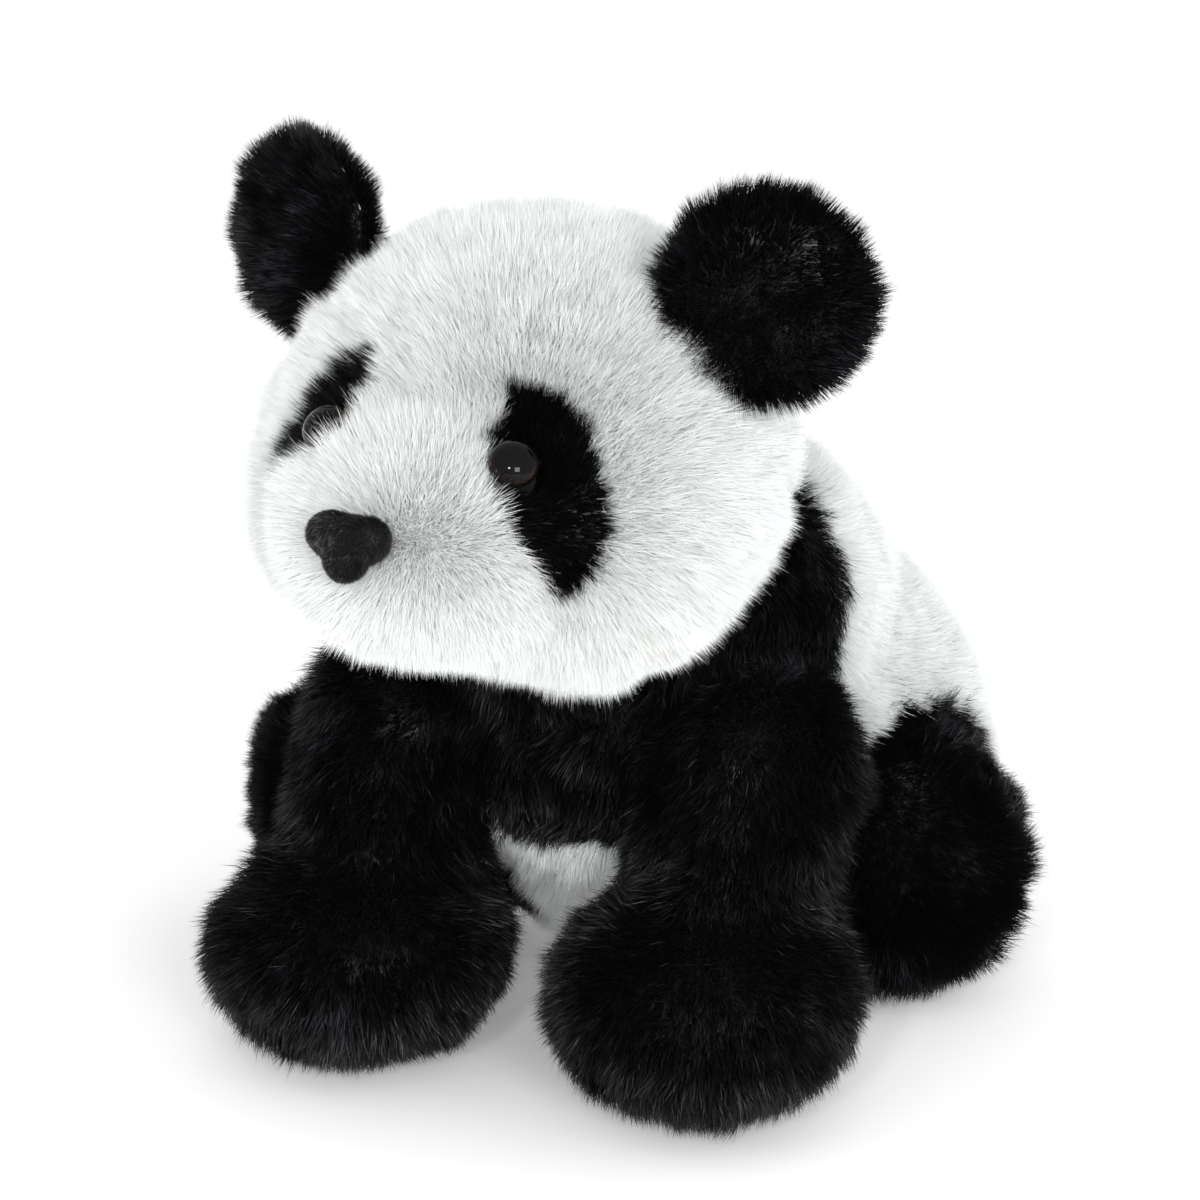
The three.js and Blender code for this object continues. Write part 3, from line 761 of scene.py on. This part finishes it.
def body_comb(points):
    """Down and back on the torso, from the shoulder to the paw, and from the hip to the sole."""
    comb = np.tile((0.0, 0.25, -1.0), (len(points), 1))
    for side in SIDES:
        shoulder, paw = place(*side_point(SHOULDER, side)), place(*PAW[side])
        near = np.clip(1.9 - np.linalg.norm((points - shoulder) / (40 * MM), axis=1), 0, 1)[:, None]
        comb = comb * (1 - near) + np.array((0, -0.9, -0.6)) * near
        near = np.clip(1.6 - np.linalg.norm((points - paw) / (52 * MM), axis=1), 0, 1)[:, None]
        comb = comb * (1 - near) + (unit(points - paw) * 0.5 + (0, -0.1, -1)) * near
        sole = place(*SOLE[side])
        near = np.clip(1.7 - np.linalg.norm((points - sole) / (46 * MM), axis=1), 0, 1)[:, None]
        comb = comb * (1 - near) + (unit(points - sole) * 0.7 + sole_out(side) * 0.5) * near
    return comb


def body_pile():
    trees = panel_trees(BODY_PANELS)
    obj = body_skin()
    points, faces = triangles(obj)
    puff(obj, seam_pins(points, trees))
    points, faces = triangles(obj)
    bpy.data.objects.remove(obj)
    panel, names = split_panels(points, faces, trees)
    comb = body_comb(points)
    height = from_row(points)[:, 2]
    scale = 0.35 + 0.65 * np.clip(height / 10, 0, 1)
    hidden = head_from_row(points)
    deep = fullness([(m, np.array(r) - 14) for m, r in HEAD], hidden) > 1
    under = fullness([(m, np.array(r) - 5) for m, r in HEAD], hidden) > 1
    scale = np.where(under, scale * 0.4, scale)
    shown = ~deep[faces].all(1)
    kinds = {
        "black": Pile(8.4, 38, 4.0, 0.27, clump=0.3, tuft=2.8),
        "white": Pile(8.2, 18, 8.5, 0.34, clump=0.1, tuft=2.8, wild=0.24, straight=True),
        "paw": Pile(9.4, 32, 4.2, 0.27, clump=0.36, tuft=3.0, wild=0.26),
        "sole": Pile(7.4, 16, 8.0, 0.32, clump=0.25, tuft=2.4, straight=True),
    }
    for i, node in enumerate(names):
        color = BODY_PANELS[node]
        kind = kinds["sole" if "sole" in node else "paw" if "leg" in node else color]
        sub = submesh(points, faces, (panel == i) & shown, comb, scale)
        strands = fibres(sub[0], sub[1], sub[2], kind, 300 + i, sub[3])
        obj = pile_mesh(node + "_pile", sub[0], sub[1], strands, WHITE if color == "white" else BLACK)
        finish_panel(obj, node, panel_body(node))


def panel_body(node):
    """The body that a panel rides on; for a leg's panels, the torso, the leg and two points that run
    from the torso into the leg.
    """
    for side in SIDES:
        if node.startswith(f"front_leg_{side}"):
            shoulder, paw = place(*side_point(SHOULDER, side)), place(*PAW[side])
            start, end = shoulder + (0, 0, 26 * MM), shoulder + (paw - shoulder) * 0.35
            return "torso", f"front_leg_{side}", tuple(start), tuple(end)
        if node.startswith(f"hind_leg_{side}"):
            hip, sole = place(*side_point(HIP, side)), place(*SOLE[side])
            return "torso", f"hind_leg_{side}", tuple(hip), tuple(sole)
    return "torso"


def tail_pile():
    directions, faces = ball(4)
    points = to_row(np.array(TAIL_AT) + directions * (np.array(TAIL_R) - 4.5))
    comb = unit(points - place(0, 120, 60)) + (0, 0, -0.4)
    strands = fibres(points, faces, comb, WHITE_NAP, 400)
    obj = pile_mesh("tail_pile", points, faces, strands, WHITE)
    finish_panel(obj, "tail", "tail")


# Eyes and nose --------------------------------------------------------------------------------
EYE_R, EYE_RISE = 6.2, 4.6  # radius and height of the dome
EYE_SEAT = 1.5  # how far the rim stands off the face


def face_frame(at, out):
    """Turns local +Z to the outward direction on the face, in the row frame."""
    out = np.array(HEAD_POSE)[:3, :3] @ out
    turn = Vector((0, 0, 1)).rotation_difference(Vector(out)).to_matrix().to_4x4()
    return Matrix.Translation(Vector(on_head(*at))) @ turn


def eye(side):
    """A domed eye turned from its profile, with a rolled rim and a shank end."""
    rings, spokes, seat = 14, 40, EYE_SEAT
    profile = [(0.0, seat + EYE_RISE)]
    for i in range(1, rings + 1):
        angle = math.pi / 2 * (1 - i / rings)
        profile.append((EYE_R * math.cos(angle), seat + EYE_RISE * math.sin(angle)))
    profile += [(EYE_R - 0.15, seat - 0.45), (EYE_R - 0.7, seat - 0.7)]
    profile += [(2.0, seat - 0.8), (2.0, seat - 8)]
    verts, uv = [], []
    for radius, height in profile:
        for k in range(spokes):
            turn = 2 * math.pi * k / spokes
            verts.append((radius * math.cos(turn) * MM, radius * math.sin(turn) * MM, height * MM))
            uv.append((k / spokes, min(radius / EYE_R, 1)))
    faces = []
    for row in range(len(profile) - 1):
        for k in range(spokes):
            a, b = row * spokes + k, row * spokes + (k + 1) % spokes
            faces.append((a, a + spokes, b + spokes, b))
    faces.append([(len(profile) - 1) * spokes + k for k in range(spokes)][::-1])
    mesh = bpy.data.meshes.new(f"eye_{side}_dome")
    mesh.from_pydata(verts, [], faces)
    layer = mesh.uv_layers.new(name="OFBake")
    for loop in mesh.loops:
        layer.data[loop.index].uv = uv[loop.vertex_index]
    bm = bmesh.new()
    bm.from_mesh(mesh)
    bmesh.ops.remove_doubles(bm, verts=bm.verts, dist=1e-6)
    bmesh.ops.recalc_face_normals(bm, faces=bm.faces)
    bm.to_mesh(mesh)
    bm.free()
    for polygon in mesh.polygons:
        polygon.use_smooth = True
    mesh.materials.append(EYE)
    obj = bpy.data.objects.new(mesh.name, mesh)
    bpy.context.scene.collection.objects.link(obj)
    mesh.transform(face_frame(*EYES[side]))
    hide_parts(f"eye_{side}")
    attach(obj, "head")


NOSE_LOBES = [
    ((5.2, 1.6, 1), (6, 5.4, 4.6)), ((-5.2, 1.6, 1), (6, 5.4, 4.6)), ((0, 1.4, 1), (5, 5, 4.6)),
    ((0, -4, 1), (5.4, 5.6, 4.4)),
]


def nose():
    points, faces = form(NOSE_LOBES, (0, 0, 1), -0.9, 4)
    side = np.cross((0, 0, 1), NOSE_OUT)
    side /= np.linalg.norm(side)
    turn = np.stack([side, np.cross(NOSE_OUT, side), NOSE_OUT], 1)
    points = head_to_row(points @ turn.T + NOSE_AT)
    comb = np.tile(np.array([0, -0.2, -1.0]), (len(points), 1))
    pile = Pile(1.5, 35, 26, 0.14, clump=0.2, tuft=1.2, wild=0.25)
    strands = fibres(points, faces, comb, pile, 500)
    obj = pile_mesh("nose_flocked", points, faces, strands, FLOCK)
    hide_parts("nose")
    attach(obj, "head")


# Hidden pieces keep their shape from the frame and get their own material.
def dress_inner():
    for name, obj in frame["nodes"].items():
        if "stuffing" in name or "filling" in name:
            material = POLYFILL
        elif "washer" in name:
            material = PLASTIC
        elif name == "pellet_bag":
            material = LINER
        elif name == "neck_plug":
            material = NECK_CLOTH
        else:
            continue
        obj.data.materials.clear()
        obj.data.materials.append(material)


# Stage, light and camera ----------------------------------------------------------------------
FLOOR_HALF = 12
FLOOR_DROP = 0.5 * MM
FLOOR_GLOW = 0.2  # the table is lit from below, so the shadow stays pale
ROOM_BRIGHT_SIDE = (0.62, -0.78, 0.0)  # the room is brighter in front and to the right
ROOM_DIM, ROOM_BRIGHT = 0.6, 1.08
LIGHT_TARGET = (0, 10, 120)
LIGHTS = (  # place, size and power
    ("key", (0.9, -1.05, 0.5), 0.4, 7),
    ("spark", (0.3, -1.25, 0.62), 0.12, 4),
)


def table():
    half = FLOOR_HALF
    corners = [(-half, -half, 0), (half, -half, 0), (half, half, 0), (-half, half, 0)]
    floor = new_object("floor", corners, [(0, 1, 2, 3)])
    floor.location.z = -FLOOR_DROP
    paper, _, shader = nodes_of("paper")
    shader.inputs["Base Color"].default_value = (0.98, 0.98, 0.98, 1)
    shader.inputs["Roughness"].default_value = 0.9
    shader.inputs["Specular IOR Level"].default_value = 0.1
    shader.inputs["Emission Color"].default_value = (1, 1, 1, 1)
    shader.inputs["Emission Strength"].default_value = FLOOR_GLOW
    floor.data.materials.append(paper)


def room():
    """A white room whose strength rises along one level direction."""
    world = bpy.data.worlds.new("studio")
    bpy.context.scene.world = world
    world.use_nodes = True
    tree = world.node_tree
    coords = tree.nodes.new("ShaderNodeTexCoord")
    toward = tree.nodes.new("ShaderNodeVectorMath")
    toward.operation = "DOT_PRODUCT"
    toward.inputs[1].default_value = ROOM_BRIGHT_SIDE
    link(tree, coords.outputs["Generated"], toward.inputs[0])
    level = tree.nodes.new("ShaderNodeMapRange")
    level.inputs["From Min"].default_value = -1.0
    level.inputs["From Max"].default_value = 1.0
    level.inputs["To Min"].default_value = ROOM_DIM
    level.inputs["To Max"].default_value = ROOM_BRIGHT
    link(tree, toward.outputs["Value"], level.inputs["Value"])
    sky = tree.nodes["Background"]
    sky.inputs["Color"].default_value = (1, 1, 1, 1)
    link(tree, level.outputs["Result"], sky.inputs["Strength"])


def lamps():
    target = Vector(place(*LIGHT_TARGET))
    for name, at, size, power in LIGHTS:
        data = bpy.data.lights.new(name, "AREA")
        data.size, data.energy = size, power
        lamp = bpy.data.objects.new(name, data)
        bpy.context.scene.collection.objects.link(lamp)
        lamp.location = at
        lamp.rotation_euler = (target - Vector(at)).to_track_quat("-Z", "Y").to_euler()


CAMERA_AZIMUTH, CAMERA_ELEVATION, CAMERA_DISTANCE = 24, 16, 0.9
CAMERA_TARGET = (0, 10, 125)
CAMERA_WIDTH = 0.324  # what the frame spans at the target, in metres


def camera():
    azimuth, elevation = math.radians(CAMERA_AZIMUTH), math.radians(CAMERA_ELEVATION)
    level = Vector((math.sin(azimuth), -math.cos(azimuth), 0))
    back = level * math.cos(elevation) + Vector((0, 0, math.sin(elevation)))
    data = bpy.data.cameras.new("camera")
    data.sensor_width = 36
    data.lens = data.sensor_width * CAMERA_DISTANCE / CAMERA_WIDTH
    obj = bpy.data.objects.new("camera", data)
    bpy.context.scene.collection.objects.link(obj)
    obj.location = Vector(place(*CAMERA_TARGET)) + back * CAMERA_DISTANCE
    obj.rotation_euler = (-back).to_track_quat("-Z", "Y").to_euler()
    bpy.context.scene.camera = obj
    bpy.context.scene.view_settings.view_transform = "Standard"


camera()
table()
room()
lamps()
dress_inner()
head_pile()
for each in SIDES:
    ear_pile(each)
    eye(each)
body_pile()
tail_pile()
nose()
